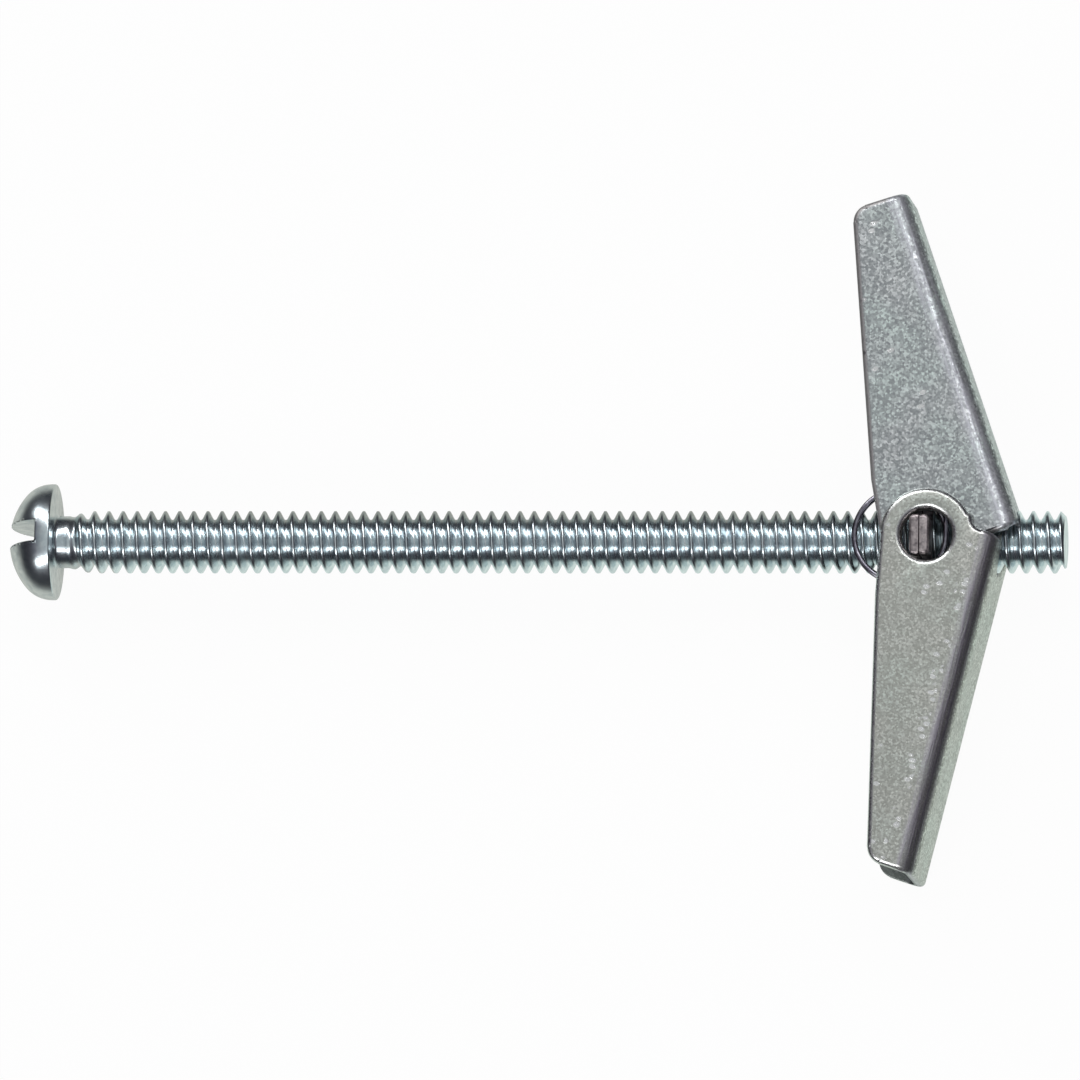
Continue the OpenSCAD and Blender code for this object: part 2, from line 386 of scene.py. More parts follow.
@dataclass(frozen=True)
class SpangledZinc(Finish):
    """Zinc-coated sheet: small crystals, press streaks at the bend and a band of bright scars. The
    bend's colour is also painted shading, the channel's inner faces carry painted shade, and the
    inner wing's rolled edges are darkened as painted shade.

    Distances named across run from the hinge towards the web's outer face. Distances named below
    run inwards from a side skin. A Span is where a fade starts and where it ends.
    """

    web_way: Colour
    hinge_across: float
    half_width: float
    dark: Colour = (0.27, 0.29, 0.30)
    light_warm: Colour = (0.97, 0.99, 1.0)
    light_cool: Colour = (0.90, 1.0, 0.97)
    grain: float = 0.17 * MM
    cloud_size: float = 1.8 * MM
    cloud_share: float = 0.25
    bend_zone_from: float = 5.4 * MM
    bend_zone_to: float = 6.6 * MM
    # painted light at the bend: this colour lifts the dark band on the inner wing's bend, along
    # with the press streaks; the outer wing's darker colour is painted shade
    streak_and_bend_shading: Colour = (0.78, 0.78, 0.86)
    streak_and_bend_shading_share: float = 0.5
    bend_chalk: float = 0.3
    # colour of the rolled edges: on the inner wing a darkening that is painted shade, dimming the
    # lamp's glint along the roll; the outer wing sets a pale rubbed tone
    rubbed_and_dimmed_edge: Colour = (0.52, 0.50, 0.50)
    polish: float = -0.18
    # painted shade: a dark colour on the channel's inner faces, where the flanges face each other
    channel_inner_face_shade: Colour = (0.13, 0.15, 0.15)
    scar_at: float = 4.0 * MM
    scar_slant: float = 0.02
    scar_reach: float = 0.5 * MM
    scar_size: float = 0.75 * MM
    scar_share: float = 0.0
    scar_fade: Span = (0.26, 0.44)
    scar_stretch: float = 1.6
    stray_share: float = 0.03
    line_stretch: float = 0.06
    line_floor: float = 0.35
    bend_zone_fade: float = 0.6 * MM
    bend_zone_end_fade: float = 0.3 * MM
    edge_start: Span = (0.004 * MM, 0.03 * MM)
    edge_end: Span = (0.3 * MM, 0.4 * MM)
    edge_share: float = 0.8
    inner_start: Span = (0.66 * MM, 0.74 * MM)
    channel_inner_face_shade_share: float = 0.7
    web_margin: Span = (0.5 * MM, 0.4 * MM)
    roughness: float = 0.40
    relief: float = 0.010 * MM

    def shade(self, graph: Graph, place: Field) -> Field:
        """Builds the finish's nodes.

        Args:
            graph: The material's graph.
            place: Object coordinates, in metres.

        Returns:
            The surface shader.
        """
        crystal = self.cells(graph, place, self.grain, "Color").part("X")
        cloud = self.noise(graph, place, self.cloud_size, 3.0)
        fine = self.noise(graph, place, self.grain, 1.0)
        tone = crystal * crystal * 0.8 + (fine - 0.4) * 0.5 + (cloud - 0.5) * self.cloud_share
        hue = self.noise(graph, place, self.cloud_size * 2.0, 1.0).ramped(0.35, 0.65)
        sheet = graph.mix(tone, self.dark, graph.mix(hue, self.light_warm, self.light_cool))
        way_x, way_y, _ = self.web_way
        across = place.part("X") * way_x + place.part("Y") * way_y - self.hinge_across
        along = place.part("Y") * way_x - place.part("X") * way_y
        drawn = graph.vector(across, along * self.line_stretch, place.part("Z"))
        lines = self.noise(graph, drawn, self.grain * 1.5, 2.0).ramped(0.4, 0.6)
        start = across.eased(self.bend_zone_from - self.bend_zone_fade, self.bend_zone_from)
        bend = start * (1.0 - across.eased(self.bend_zone_to - self.bend_zone_end_fade, self.bend_zone_to))
        streak_and_shading_mask = bend * (self.line_floor + lines * (1.0 - self.line_floor))
        # painted shading at the bend, mixed with the press streaks' lines
        streaked_and_bend_shaded = graph.mix(streak_and_shading_mask * self.streak_and_bend_shading_share, sheet, self.streak_and_bend_shading)
        dragged = graph.vector(across, along * self.scar_stretch, 0.0)
        picked = self.cells(graph, dragged, self.scar_size, "Color").part("Y")
        from_middle = self.cells(graph, dragged, self.scar_size, "Distance")
        near = 1.0 - from_middle.eased(*self.scar_fade)
        shift = self.scar_at + along * self.scar_slant
        band = 1.0 - abs(across - shift).eased(self.scar_reach * 0.7, self.scar_reach)
        scar = near * (picked > 1.0 - self.stray_share - band * self.scar_share) * (1.0 - start)
        below = self.half_width - abs(place.part("Z"))
        rolled = below.eased(*self.edge_start) * (1.0 - below.eased(*self.edge_end))
        edge = rolled * (1.0 - start)
        scarred = graph.mix(scar * (0.5 + fine), streaked_and_bend_shaded, (1.0, 1.0, 1.0))
        on_web = across.eased(*(self.bend_zone_to - margin for margin in self.web_margin))
        # painted shade on the channel's inner faces, away from the web
        inner_face_shade_mask = below.eased(*self.inner_start) * (1.0 - on_web)
        inner_faces_shaded = graph.mix(inner_face_shade_mask * self.channel_inner_face_shade_share, scarred, self.channel_inner_face_shade)
        # the rolled edges take their colour, which on the inner wing is painted shade
        colour = graph.mix(edge * self.edge_share, inner_faces_shaded, self.rubbed_and_dimmed_edge)
        roughness = self.roughness + (0.5 - crystal) * 0.16 - scar * 0.2 - edge * self.polish
        flat = (crystal * 0.5 + fine * 0.5 - scar * 0.8) * (1.0 - edge * self.edge_share)
        height = flat + lines * streak_and_shading_mask * 0.6
        metallic = 1.0 - bend * self.bend_chalk
        return self.metal(graph, colour, roughness, height, self.relief, metallic)


@dataclass(frozen=True)
class BrightZinc(Finish):
    """Bright zinc plate on rolled and turned steel, faintly blue, with handling marks."""

    colour: Colour = (0.77, 0.85, 0.87)
    dull: Colour = (0.52, 0.60, 0.65)
    roughness: float = 0.21
    mark: float = 0.7 * MM
    relief: float = 0.006 * MM

    def shade(self, graph: Graph, place: Field) -> Field:
        """Builds the finish's nodes.

        Args:
            graph: The material's graph.
            place: Object coordinates, in metres.

        Returns:
            The surface shader.
        """
        marks = self.noise(graph, place, self.mark, 4.0)
        cloud = self.noise(graph, place, self.mark * 6.0, 2.0)
        colour = graph.mix(marks.ramped(0.35, 0.75), self.colour, self.dull)
        roughness = self.roughness + cloud * 0.10
        return self.metal(graph, colour, roughness, marks, self.relief)


@dataclass(frozen=True)
class PressedSteel(Finish):
    """Zinc-washed strip with the drag lines of the press along one axis."""

    colour: Colour = (0.58, 0.52, 0.52)
    dark: Colour = (0.16, 0.14, 0.15)
    roughness: float = 0.34
    line: float = 0.16 * MM
    line_stretch: float = 0.12
    relief: float = 0.012 * MM

    def shade(self, graph: Graph, place: Field) -> Field:
        """Builds the finish's nodes.

        Args:
            graph: The material's graph.
            place: Object coordinates, in metres.

        Returns:
            The surface shader.
        """
        sockets = {"Vector": place, "Scale": (1.0, 1.0, self.line_stretch)}
        drawn = graph.out("ShaderNodeMapping", sockets=sockets)
        lines = self.noise(graph, drawn, self.line, 3.0)
        cloud = self.noise(graph, place, self.line * 3.0, 3.0)
        colour = graph.mix((lines * 0.4 + cloud * 0.6).ramped(0.35, 0.65), self.dark, self.colour)
        return self.metal(graph, colour, self.roughness + cloud * 0.1, lines, self.relief)


@dataclass(frozen=True)
class SpringWire(Finish):
    """Oil-tempered wire: dark, smooth, with faint draw lines."""

    colour: Colour = (0.36, 0.35, 0.40)
    dark: Colour = (0.15, 0.14, 0.18)
    roughness: float = 0.20
    mark: float = 0.5 * MM
    relief: float = 0.003 * MM

    def shade(self, graph: Graph, place: Field) -> Field:
        """Builds the finish's nodes.

        Args:
            graph: The material's graph.
            place: Object coordinates, in metres.

        Returns:
            The surface shader.
        """
        marks = self.noise(graph, place, self.mark, 3.0)
        colour = graph.mix(marks.ramped(0.3, 0.7), self.dark, self.colour)
        return self.metal(graph, colour, self.roughness + marks * 0.1, marks, self.relief)


# ---------------------------------------------------------------- mesh helpers


class Shape:
    """Steps that every piece needs on its way from a raw mesh to a finished object."""

    @staticmethod
    def from_bmesh(name: str, mesh: bmesh.types.BMesh) -> bpy.types.Object:
        """Turns a bmesh into an object at the origin.

        Args:
            name: The object's name.
            mesh: The bmesh, which is freed.

        Returns:
            The object.
        """
        data = bpy.data.meshes.new(name)
        mesh.to_mesh(data)
        mesh.free()
        made = bpy.data.objects.new(name, data)
        bpy.context.scene.collection.objects.link(made)
        return made

    @staticmethod
    def settle(piece: bpy.types.Object) -> None:
        """Turns a piece's modifiers into plain mesh and removes them.

        Args:
            piece: The object.
        """
        graph = bpy.context.evaluated_depsgraph_get()
        done = bpy.data.meshes.new_from_object(piece.evaluated_get(graph))
        piece.modifiers.clear()
        piece.data = done

    @staticmethod
    def node_copy(node: str, name: str) -> bmesh.types.BMesh:
        """A merged copy of a CAD node's mesh, its flat faces made whole.

        Args:
            node: The CAD node.
            name: Name for the copy, for the log.

        Returns:
            The copy as a bmesh.
        """
        mesh = bmesh.new()
        mesh.from_mesh(frame["nodes"][node].data)
        bmesh.ops.remove_doubles(mesh, verts=mesh.verts, dist=WELD)
        bmesh.ops.dissolve_limit(mesh, angle_limit=COPLANAR, verts=mesh.verts, edges=mesh.edges)
        LOG.info("%s: %d faces from %s", name, len(mesh.faces), node)
        return mesh

    @staticmethod
    def weigh_edges(mesh: bmesh.types.BMesh, weigh: Callable[[bmesh.types.BMEdge], float]) -> None:
        """Marks a mesh's sharp edges with the share of the full rounding that each one gets.

        Args:
            mesh: The mesh.
            weigh: Gives an edge's share, from 0 to 1.
        """
        layer = mesh.edges.layers.float.new("bevel_weight_edge")
        for edge in mesh.edges:
            if edge.is_manifold and edge.calc_face_angle() > SHARP:
                edge[layer] = weigh(edge)

    @staticmethod
    def round_edges(piece: bpy.types.Object, width: float, segments: int, weighted: bool) -> None:
        """Rounds a piece's edges; keep_flats then shades it.

        Args:
            piece: The object.
            width: Width of the rounding in metres.
            segments: Facets across it.
            weighted: True to scale the width by the marks of weigh_edges.
        """
        bevel = piece.modifiers.new("edges", "BEVEL")
        bevel.width = width
        bevel.segments = segments
        bevel.limit_method = "WEIGHT" if weighted else "ANGLE"
        bevel.angle_limit = SHARP
        bevel.use_clamp_overlap = False
        Shape.settle(piece)

    @staticmethod
    def keep_flats(piece: bpy.types.Object, half_width: float = 0.0) -> None:
        """Shades a rounded piece smooth with its flats kept flat.

        Args:
            piece: The object.
            half_width: Height of the two side skins, which are made level, or 0 to leave them.
        """
        mesh = bmesh.new()
        mesh.from_mesh(piece.data)
        for vert in mesh.verts:
            if half_width and abs(abs(vert.co.z) - half_width) < LEVEL:
                vert.co.z = math.copysign(half_width, vert.co.z)
        bmesh.ops.dissolve_degenerate(mesh, dist=SPECK, edges=mesh.edges)
        bmesh.ops.triangulate(mesh, faces=[face for face in mesh.faces if len(face.verts) > 4])
        mesh.to_mesh(piece.data)
        mesh.free()
        for face in piece.data.polygons:
            face.use_smooth = True
        normals = piece.modifiers.new("flats", "WEIGHTED_NORMAL")
        normals.keep_sharp = True
        normals.weight = 100
        Shape.settle(piece)

    @staticmethod
    def finish(
        piece: bpy.types.Object, finish: Finish, slot: str, body: str, *nodes: str
    ) -> None:
        """Gives a piece its material, body and the nodes it stands for, and logs its slot.

        Args:
            piece: The object.
            finish: Its finish.
            slot: The record's material slot.
            body: The CAD body it moves with.
            nodes: CAD nodes it replaces.
        """
        piece.data.materials.clear()
        piece.data.materials.append(finish.material())
        if nodes:
            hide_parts(*nodes)
        if body:
            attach(piece, body)
        faces = sum(len(face.vertices) - 2 for face in piece.data.polygons)
        LOG.info("%s: %d triangles, slot %s, body %s", piece.name, faces, slot, body or "blended")


class Tree:
    """A geometry node tree with named inputs, run once on an empty carrier mesh."""

    def __init__(self, name: str, sizes: dict[str, float]) -> None:
        """Starts the tree.

        Args:
            name: The tree's name.
            sizes: Named inputs and their values, in metres or plain numbers.
        """
        self.name = name
        self.sizes = sizes
        self.tree = bpy.data.node_groups.new(name, "GeometryNodeTree")
        self._add_socket("Geometry", "INPUT", "NodeSocketGeometry")
        self.keys = {size: self._add_socket(size, "INPUT", "NodeSocketFloat") for size in sizes}
        self._add_socket("Geometry", "OUTPUT", "NodeSocketGeometry")
        self.graph = Graph(self.tree)
        self.start = self.graph.node("NodeGroupInput")

    def _add_socket(self, name: str, way: str, kind: str) -> str:
        """Adds an input or an output and gives the key that a modifier sets it by."""
        made = self.tree.interface.new_socket(name, in_out=way, socket_type=kind)
        return made.identifier

    def size(self, name: str) -> Field:
        """One of the tree's named inputs."""
        return Field(self.graph, self.start.outputs[name])

    def run(self, mesh: Field, finish: Finish) -> bpy.types.Object:
        """Closes the tree, runs it and keeps the result as a plain mesh.

        Args:
            mesh: The geometry to output.
            finish: The material that the tree sets.

        Returns:
            The finished object, with no modifier left.
        """
        graph = self.graph
        whole = graph.out("GeometryNodeRealizeInstances", sockets={0: mesh})
        sockets = {"Geometry": whole, "Material": finish.material()}
        dressed = graph.out("GeometryNodeSetMaterial", sockets=sockets)
        graph.node("NodeGroupOutput", None, {0: dressed})
        carrier = Shape.from_bmesh(self.name, bmesh.new())
        modifier = carrier.modifiers.new(self.name, "NODES")
        modifier.node_group = self.tree
        for name, value in self.sizes.items():
            modifier[self.keys[name]] = value
        Shape.settle(carrier)
        return carrier


# ---------------------------------------------------------------- the pieces


@dataclass
class Screw:
    """The machine screw: a turned head with its slot, a plain neck and a rolled helical thread."""

    finish: Finish
    node: str = "machine_screw"
    pitch: float = 25.4 * MM / 24
    major_r: float = 2.315 * MM
    root_r: float = 1.66 * MM
    neck_r: float = 1.925 * MM
    neck_inset: float = 0.01 * MM
    head_end: float = 0.6 * MM
    full_thread: float = 2.9 * MM
    first_crest: float = 3.87 * MM
    end_r: float = 1.91 * MM
    crown_r: float = 5.29 * MM
    shoulder_r: float = 2.46 * MM
    rim_height: float = 0.34 * MM
    rim_round: float = 0.12 * MM
    fillet: float = 0.3 * MM
    slot_width: float = 1.56 * MM
    slot_depth: float = 2.35 * MM
    slot_offset: float = 0.2 * MM
    slot_turn: float = math.radians(3)
    cutter_height: float = 4 * MM
    cutter_span: float = 2.2
    edge_round: float = 0.09 * MM
    edge_facets: int = 3
    crown_facets: int = 14
    shoulder_facets: int = 10
    rim_facets: int = 5
    fillet_facets: int = 4
    rows: int = 12
    columns: int = 64
    rows_before: int = 5
    flank: Span = (0.14, 0.86)
    flank_eased: Span = (0.10, 0.90)
    flank_straight: float = 0.6
    seam: float = 0.002 * MM
    at_end: float = 1e-7
    cap_facing: float = 0.999
    high: Vector = field(init=False)

    def __post_init__(self) -> None:
        """Reads the screw's length and the head's radius from the frame."""
        self.high = Vector(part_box(self.node)[1])

    @staticmethod
    def angles(low: float, high: float, facets: int, first: int = 0) -> list[float]:
        """Even angles of an arc, in radians; first is 1 to leave the first one out."""
        return [low + (high - low) * i / facets for i in range(first, facets + 1)]

    def head_profile(self) -> list[tuple[float, float]]:
        """The head's half section, from the crown to the neck.

        Returns:
            Pairs of axial place and radius.
        """
        rim_r = self.high.y
        shoulder = (-self.rim_height, rim_r - self.shoulder_r)
        rise = self.crown_r - self.shoulder_r
        crown_x = shoulder[0] + math.sqrt(rise**2 - shoulder[1] ** 2)
        meet = math.atan2(shoulder[1], crown_x - shoulder[0])
        points = [
            (crown_x - self.crown_r * math.cos(a), self.crown_r * math.sin(a))
            for a in self.angles(0.0, meet, self.crown_facets)
        ]
        x, r = shoulder
        points += [
            (x - self.shoulder_r * math.cos(a), r + self.shoulder_r * math.sin(a))
            for a in self.angles(meet, math.pi / 2, self.shoulder_facets, first=1)
        ]
        points += [
            (-self.rim_round * (1 - math.sin(a)), rim_r - self.rim_round * (1 - math.cos(a)))
            for a in self.angles(0.0, math.pi / 2, self.rim_facets)
        ]
        tail = self.neck_r - self.neck_inset
        ring = tail + self.fillet
        points += [
            (self.fillet * (1 - math.cos(a)), ring - self.fillet * math.sin(a))
            for a in self.angles(0.0, math.pi / 2, self.fillet_facets)
        ]
        return points + [(self.head_end, tail)]

    def turn_head(self) -> bpy.types.Object:
        """Turns the head and neck from their half section.

        Returns:
            The closed head, with no slot yet.
        """
        mesh = bmesh.new()
        profile = self.head_profile()
        turns = 2 * self.columns
        rings = []
        for x, r in profile[1:]:
            angles = (2 * math.pi * k / turns for k in range(turns))
            rings.append([mesh.verts.new((x, r * math.cos(a), r * math.sin(a))) for a in angles])
        for low, high in zip(rings, rings[1:]):
            for k in range(turns):
                n = (k + 1) % turns
                mesh.faces.new((low[k], low[n], high[n], high[k]))
        crown = mesh.verts.new((profile[0][0], 0, 0))
        for k in range(turns):
            mesh.faces.new((crown, rings[0][(k + 1) % turns], rings[0][k]))
        mesh.faces.new(rings[-1])
        bmesh.ops.recalc_face_normals(mesh, faces=mesh.faces)
        return Shape.from_bmesh("screw_head", mesh)

    def build_head(self) -> bpy.types.Object:
        """Turns the head and mills its slot.

        Returns:
            The closed head.
        """
        head = self.turn_head()
        cutter = bmesh.new()
        apex = self.head_profile()[0][0]
        middle = apex + self.slot_depth - self.cutter_height / 2
        place = Matrix.Translation((middle, self.slot_offset, 0))
        turn = Matrix.Rotation(-self.slot_turn, 4, "X")
        span = self.cutter_span * self.high.y
        size = Matrix.Diagonal((self.cutter_height, self.slot_width, span, 1))
        bmesh.ops.create_cube(cutter, size=1, matrix=place @ turn @ size)
        tool = Shape.from_bmesh("slot_cutter", cutter)
        cut = head.modifiers.new("slot", "BOOLEAN")
        cut.operation = "DIFFERENCE"
        cut.solver = "EXACT"
        cut.object = tool
        Shape.settle(head)
        bpy.data.objects.remove(tool)
        Shape.round_edges(head, self.edge_round, self.edge_facets, weighted=False)
        Shape.keep_flats(head)
        return head

    def build_thread(self) -> bpy.types.Object:
        """Rolls the thread: rows that follow the helix, clipped at the neck and the end.

        Returns:
            The closed thread.
        """
        first = self.first_crest - self.rows_before * self.pitch
        turns = math.ceil((self.high.x - first) / self.pitch)
        sizes = {
            "Pitch": self.pitch,
            "First Row": first,
            "Turns": float(turns),
            "Major Radius": self.major_r,
            "Root Radius": self.root_r,
            "Neck Radius": self.neck_r,
            "Head End": self.head_end,
            "Full Thread": self.full_thread,
            "Start": self.fillet / 3,
            "End": self.high.x,
            "End Radius": self.end_r,
        }
        tree = Tree("screw_thread", sizes)
        graph, size = tree.graph, tree.size
        sockets = {"Size X": 1.0, "Size Y": 1.0}
        sockets.update({"Vertices X": turns * self.rows + 1, "Vertices Y": self.columns + 1})
        grid = graph.out("GeometryNodeMeshGrid", "Mesh", None, sockets)
        spot = graph.out("GeometryNodeInputPosition")
        around = spot.part("Y") + 0.5
        along = (spot.part("X") + 0.5) * size("Turns")
        raw = size("First Row") + size("Pitch") * (along + around)
        x = raw.most(size("Start")).least(size("End"))
        depth = abs((along + 0.5).fraction() - 0.5) * 2.0
        straight = depth.ramped(*self.flank) * self.flank_straight
        cut = straight + depth.eased(*self.flank_eased) * (1.0 - self.flank_straight)
        full = size("Major Radius") - (size("Major Radius") - size("Root Radius")) * cut
        grown = x.eased(size("Head End"), size("Full Thread"))
        body = size("Neck Radius") + (full - size("Neck Radius")) * grown
        tapered = body.least(size("End Radius") + size("End") - x)
        past = raw > size("End") - self.at_end
        radius = tapered + (size("End Radius") - tapered) * past
        angle = around * math.tau
        place = graph.vector(x, radius * angle.cosine(), radius * angle.sine())
        joined = graph.node("GeometryNodeJoinGeometry")
        graph.feed(joined.inputs[0], graph.placed(grid, place))
        fan = {"fill_type": "TRIANGLE_FAN"}
        ends = (("Start", size("Neck Radius"), True), ("End", size("End Radius"), False))
        for end, ring_r, flip in ends:
            sockets = {"Vertices": self.columns, "Radius": ring_r}
            disc = graph.out("GeometryNodeMeshCircle", 0, fan, sockets)
            own = graph.out("GeometryNodeInputPosition")
            cap = graph.placed(disc, graph.vector(size(end), own.part("X"), own.part("Y")))
            if flip:
                cap = graph.out("GeometryNodeFlipFaces", sockets={0: cap})
            graph.feed(joined.inputs[0], cap)
        sockets = {"Geometry": joined.outputs[0], "Distance": self.seam}
        merged = graph.out("GeometryNodeMergeByDistance", sockets=sockets)
        off_axis = abs(graph.out("GeometryNodeInputNormal").part("X")) < self.cap_facing
        sockets = {"Geometry": merged, "Shade Smooth": off_axis}
        smooth = graph.out("GeometryNodeSetShadeSmooth", sockets=sockets)
        return tree.run(smooth, self.finish)

    def dress(self) -> bpy.types.Object:
        """Builds the whole screw and lets it stand for the CAD node.

        Returns:
            The screw.
        """
        head = self.build_head()
        thread = self.build_thread()
        whole = bmesh.new()
        whole.from_mesh(head.data)
        whole.from_mesh(thread.data)
        bpy.data.objects.remove(head)
        bpy.data.objects.remove(thread)
        piece = Shape.from_bmesh("screw_body", whole)
        Shape.finish(piece, self.finish, "screw", "screw", self.node)
        return piece


class Side(Enum):
    """Which of the two nested wings."""

    INNER = "inner_wing"
    OUTER = "outer_wing"


@dataclass(frozen=True)
class WingForm:
    """How a wing's channel lies, seen along the hinge axis, with the wing open.

    The web's angle is in degrees. flank is 1 for the wing on the +Y side and -1 for the other.
    """

    web_angle: float
    heel: float
    bend_r: float
    flank: float
    heel_start: float
    heel_spread: float
    throat_top: float = 0.9 * MM

    def out(self) -> Vector:
        """The way that the web's outer face looks."""
        angle = math.radians(self.web_angle)
        return Vector((math.cos(angle), self.flank * math.sin(angle), 0.0))

    def skin_depth(self, spot: Vector, half_width: float) -> float:
        """How far a point lies below the channel's outer skin.

        Args:
            spot: The point, from the hinge axis at the screw's height.
            half_width: Half the wing's outer width.

        Returns:
            The depth in metres.
        """
        from_web = self.heel - spot.dot(self.out())
        from_side = half_width - abs(spot.z)
        in_corner = Vector((max(self.bend_r - from_web, 0.0), max(self.bend_r - from_side, 0.0)))
        if min(in_corner) > 0.0:
            return self.bend_r - in_corner.length
        return min(from_web, from_side)

    def ease_heel(self, mesh: bmesh.types.BMesh, hinge: Vector, half_width: float) -> None:
        """Lets the flanges' heels run on past the web's, as the blank spreads in the bend.

        Args:
            mesh: The wing's mesh, which is changed.
            hinge: The hinge axis at the screw's height.
            half_width: Half the wing's outer width.
        """
        out = self.out()
        along = Vector((-out.y, out.x, 0.0)) * self.flank
        for vert in mesh.verts:
            spot = vert.co - hinge
            rise = spot.dot(along) - self.heel_start
            if rise > self.throat_top or spot.dot(out) < self.heel / 2:
                continue
            on_flank = 1.0 - (half_width - abs(spot.z)) / self.bend_r
            share = min(max(on_flank, 0.0), 1.0) * (1.0 - max(rise, 0.0) / self.throat_top)
            if self.heel - spot.dot(out) > self.bend_r and on_flank > 0.0:
                share = 1.0 - max(rise, 0.0) / self.throat_top
            vert.co -= along * share * self.heel_spread


@dataclass
class Wing:
    """A folded-sheet wing: its outer edges rolled over by the press, its inner ones crisp."""

    side: Side
    form: WingForm
    finish: Finish
    hinge: Vector
    sheet: float = 0.76 * MM
    roll: float = 0.42 * MM
    crisp: float = 0.08 * MM
    facets: int = 5

    def share(self, edge: bmesh.types.BMEdge, half_width: float) -> float:
        """An edge's share of the widest rounding.

        Args:
            edge: The edge.
            half_width: Half the wing's outer width.

        Returns:
            The share, from 0 to 1.
        """
        depths = (self.form.skin_depth(v.co - self.hinge, half_width) for v in edge.verts)
        return 1.0 if max(depths) < self.sheet / 2 else self.crisp / self.roll

    def dress(self) -> bpy.types.Object:
        """Rounds a copy of the CAD wing and lets it stand for the node.

        Returns:
            The wing.
        """
        node = self.side.value
        mesh = Shape.node_copy(node, node + "_sheet")
        half_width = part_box(node)[1][2]
        self.form.ease_heel(mesh, self.hinge, half_width)
        Shape.weigh_edges(mesh, lambda edge: self.share(edge, half_width))
        piece = Shape.from_bmesh(node + "_sheet", mesh)
        Shape.round_edges(piece, self.roll, self.facets, weighted=True)
        Shape.keep_flats(piece, half_width)
        Shape.finish(piece, self.finish, "wings", node, node)
        return piece


@dataclass
class Nut:
    """The trunnion nut, folded double from strip."""

    finish: Finish
    seam_x: float
    node: str = "toggle_nut"
    end_round: float = 0.26 * MM
    edge_round: float = 0.02 * MM
    end_reach: float = 0.01 * MM
    seam_reach: float = 0.06 * MM
    facets: int = 4

    def share(self, edge: bmesh.types.BMEdge) -> float:
        """An edge's share of the rounding: full round the tabs' ends, but not at their seam.

        Args:
            edge: The edge.

        Returns:
            The share, from 0 to 1.
        """
        tab_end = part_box(self.node)[1][2] - self.end_reach
        at_end = all(abs(vert.co.z) > tab_end for vert in edge.verts)
        at_seam = all(abs(vert.co.x - self.seam_x) < self.seam_reach for vert in edge.verts)
        return 1.0 if at_end and not at_seam else self.edge_round / self.end_round

    def dress(self) -> bpy.types.Object:
        """Rounds a copy of the CAD nut and lets it stand for the node.

        Returns:
            The nut.
        """
        mesh = Shape.node_copy(self.node, "nut_strip")
        Shape.weigh_edges(mesh, self.share)
        piece = Shape.from_bmesh("nut_strip", mesh)
        Shape.round_edges(piece, self.end_round, self.facets, weighted=True)
        Shape.keep_flats(piece)
        Shape.finish(piece, self.finish, "nut", "toggle", self.node)
        return piece


@dataclass
class Spring:
    """The torsion spring: one coil and two legs, cut in two on the coil's head side."""

    finish: Finish
    hinge: Vector
    node: str = "torsion_spring"
    wire_r: float = 0.23 * MM
    coil_r: float = 3.4 * MM
    coil_setback: float = 2.1 * MM
    coil_y: float = 0.12 * MM
    low_z: float = 2.59 * MM
    high_z: float = 3.07 * MM
    lean: float = math.radians(1.4)
    inner_leg: float = 11.2 * MM
    outer_leg: float = 10.3 * MM
    leg_drop: float = 0.37 * MM
    coil_share: float = 0.5
    blend_from: float = 1.0 * MM
    blend_to: float = 6.0 * MM
    points: int = 90
    sides: int = 16

    def half(self, name: str, upper: bool) -> bpy.types.Object:
        """Bends one half of the spring: a leg and half the coil.

        Args:
            name: The object's name.
            upper: True for the half whose leg lies in the inner wing.

        Returns:
            The half, in place.
        """
        middle = (self.low_z + self.high_z) / 2
        sizes = {
            "Wire Radius": self.wire_r,
            "Coil Radius": self.coil_r,
            "Centre X": self.hinge.x - self.coil_setback,
            "Centre Y": self.coil_y,
            "Cut Z": middle,
            "Leg Z": self.high_z if upper else self.low_z,
            "Leg Drop": self.leg_drop if upper else 0.0,
            "Leg Length": self.inner_leg if upper else self.outer_leg,
            "Side": 1.0 if upper else -1.0,
            "Coil Share": self.coil_share,
        }
        tree = Tree(name, sizes)
        graph, size = tree.graph, tree.size
        sockets = {"Start": (0, 0, 0), "End": (1, 0, 0)}
        line = graph.out("GeometryNodeCurvePrimitiveLine", sockets=sockets)
        sockets = {"Curve": line, "Count": self.points}
        dotted = graph.out("GeometryNodeResampleCurve", sockets=sockets)
        step = graph.out("GeometryNodeInputPosition").part("X")
        bend = step.ramped(0.0, size("Coil Share"))
        run = step.ramped(size("Coil Share"), 1.0)
        angle = (1.0 - bend) * math.pi
        side = size("Side")
        reach = size("Leg Length") * run
        x = size("Centre X") + size("Coil Radius") * angle.cosine() + reach * math.sin(self.lean)
        sway = side * size("Coil Radius") * angle.sine()
        y = size("Centre Y") - sway + side * reach * math.cos(self.lean)
        z = size("Cut Z") + (size("Leg Z") - size("Cut Z")) * bend - size("Leg Drop") * run
        streak_and_shading_mask = graph.placed(dotted, graph.vector(x, y, z))
        sockets = {"Resolution": self.sides, "Radius": size("Wire Radius")}
        ring = graph.out("GeometryNodeCurvePrimitiveCircle", sockets=sockets)
        sockets = {"Curve": streak_and_shading_mask, "Profile Curve": ring, "Fill Caps": True}
        wire = graph.out("GeometryNodeCurveToMesh", sockets=sockets)
        smooth = graph.out("GeometryNodeSetShadeSmooth", sockets={"Geometry": wire})
        return tree.run(smooth, self.finish)

    def dress(self) -> list[bpy.types.Object]:
        """Builds both halves: each bends from the nut to its own wing.

        Returns:
            The two halves.
        """
        made = []
        for name, upper, wing in (
            ("spring_outer_leg", False, Side.OUTER),
            ("spring_inner_leg", True, Side.INNER),
        ):
            piece = self.half(name, upper)
            Shape.finish(piece, self.finish, "spring", "", self.node)
            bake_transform(piece)
            made.append(piece)
        return made


# ---------------------------------------------------------------- the studio


